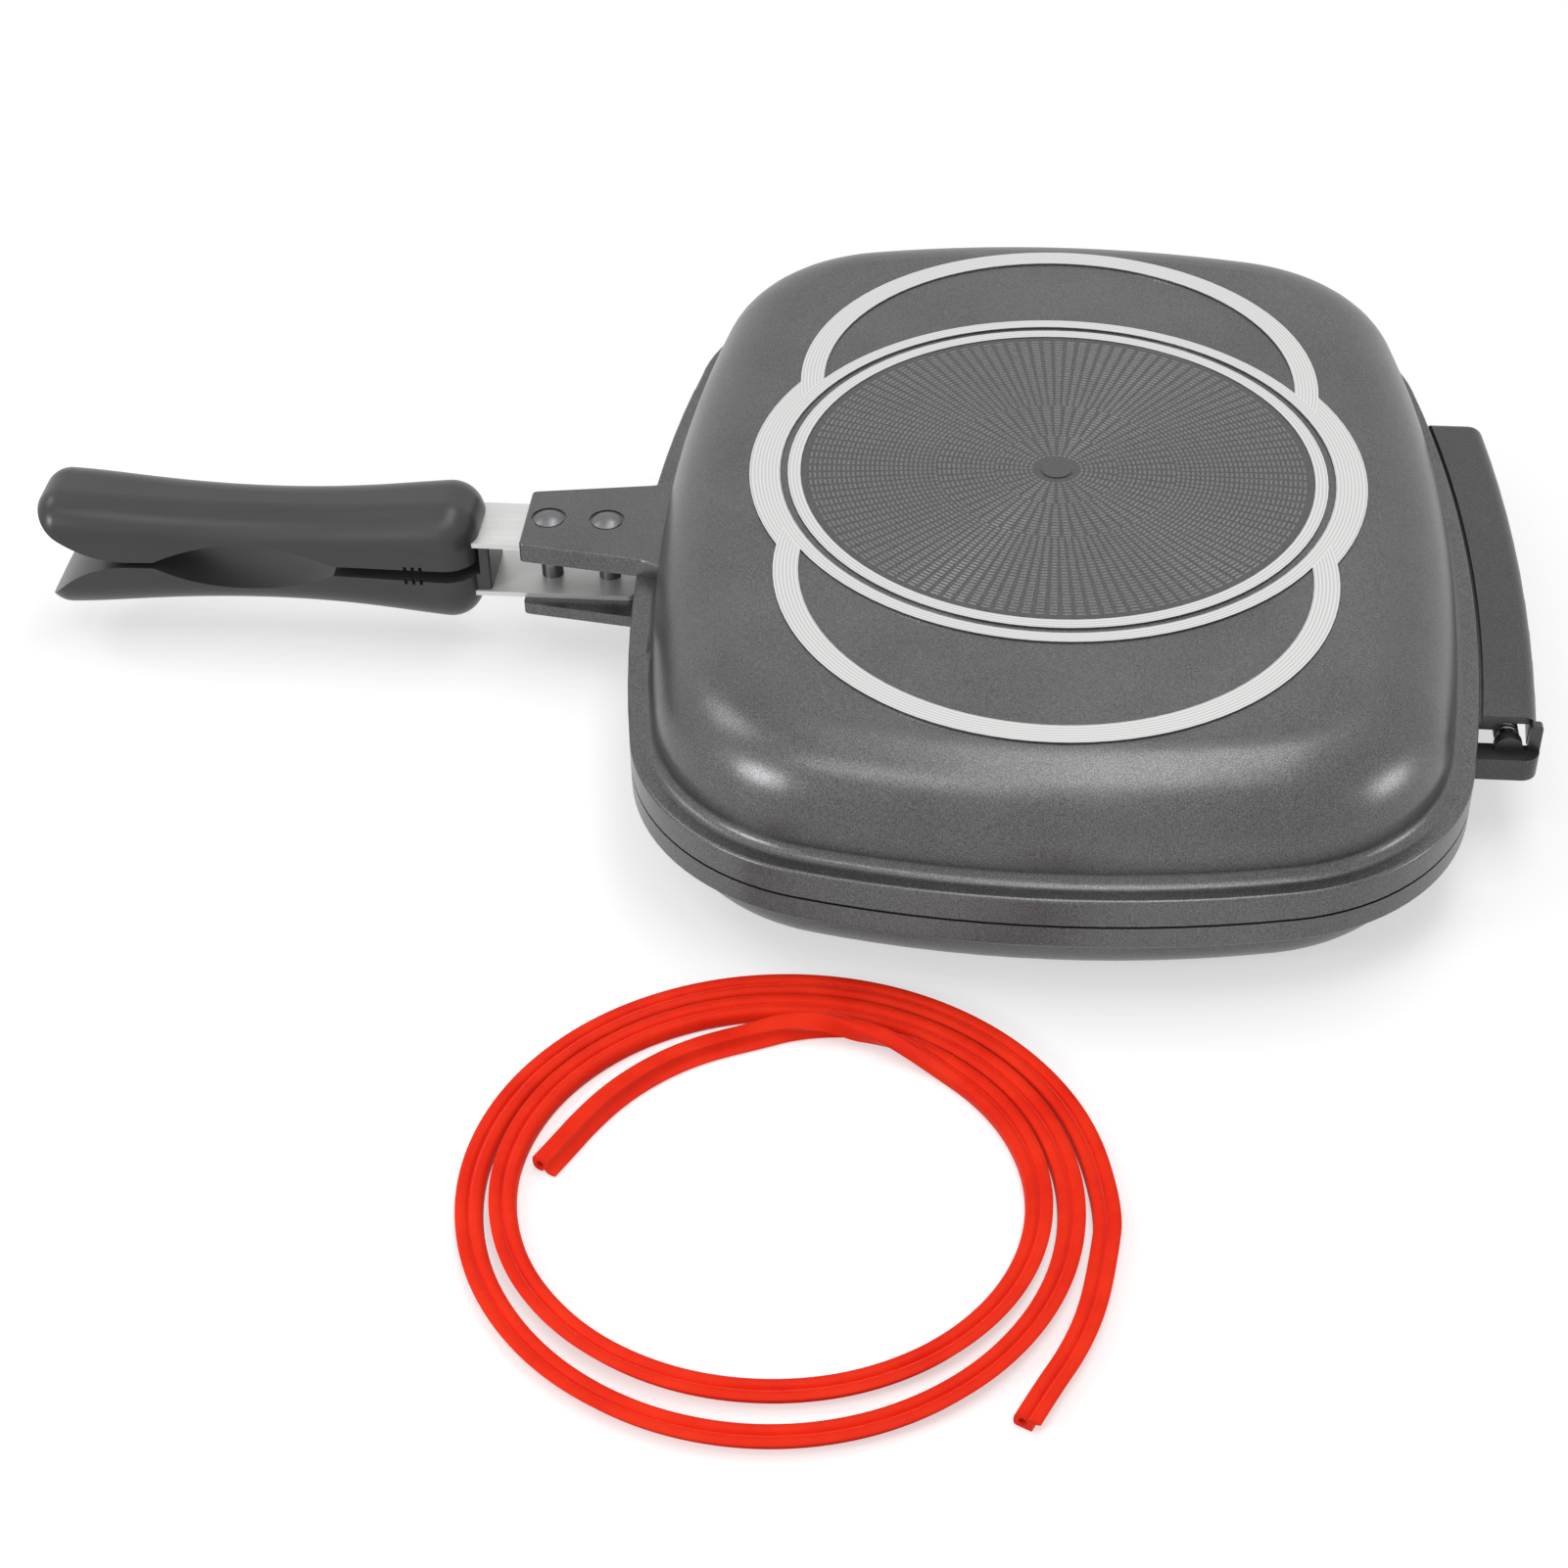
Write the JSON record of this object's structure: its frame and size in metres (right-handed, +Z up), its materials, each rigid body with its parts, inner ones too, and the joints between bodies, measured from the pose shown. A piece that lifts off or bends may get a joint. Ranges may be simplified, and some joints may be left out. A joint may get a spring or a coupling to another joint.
{
  "type": "double-sided grill pan",
  "caption": "Stove-top double-sided grill pan: two deep cast halves on a rear hinge, each with a riveted steel strap and a half grip, and a coiled spare length of rim seal beside it.",
  "frame": {"origin": "centre of the lower base, on the surface that the pan stands on", "axes": "+X from the handle to the hinge, +Z up, +Y along the hinge away from the coiled spare seal"},
  "size_m": [0.476, 0.4947, 0.0742],
  "materials": {
    "pan_coating": "dark grey satin non-stick coating with a fine metallic fleck, on cast aluminium",
    "base_disc": "dark satin coating over a pressed-in disc with raised dashes",
    "seal_rubber": "bright red silicone rubber, satin",
    "strap_steel": "bright brushed stainless steel",
    "rivet_metal": "dark grey coated steel, satin",
    "grip_plastic": "dark grey satin moulded thermoset",
    "magnet_plating": "nickel plating",
    "hinge_steel": "bright steel wire and pin"
  },
  "bodies": {
    "lower_half": {"lower_pan": "pan_coating", "lower_base_disc": "base_disc", "rim_seal": "seal_rubber", "lower_handle_strap": "strap_steel", "lower_strap_rivets": "rivet_metal", "lower_grip": "grip_plastic", "lower_grip_screws": "strap_steel", "lower_grip_magnet": "magnet_plating", "hinge_pin": "hinge_steel", "hinge_pin_clip": "hinge_steel", "hinge_washers": "hinge_steel", "hinge_spring": "hinge_steel", "spare_seal": "seal_rubber"},
    "upper_half": {"upper_pan": "pan_coating", "upper_base_disc": "base_disc", "upper_handle_strap": "strap_steel", "upper_strap_rivets": "rivet_metal", "upper_grip": "grip_plastic", "upper_grip_screws": "strap_steel", "upper_grip_magnet": "magnet_plating"}
  },
  "joints": [
    {"name": "pan_hinge", "type": "hinge", "parent": "lower_half", "child": "upper_half", "pos_m": [0.1362, 0, 0.0335], "axis": [0, 1, 0], "range_deg": [0, 95]}
  ]
}
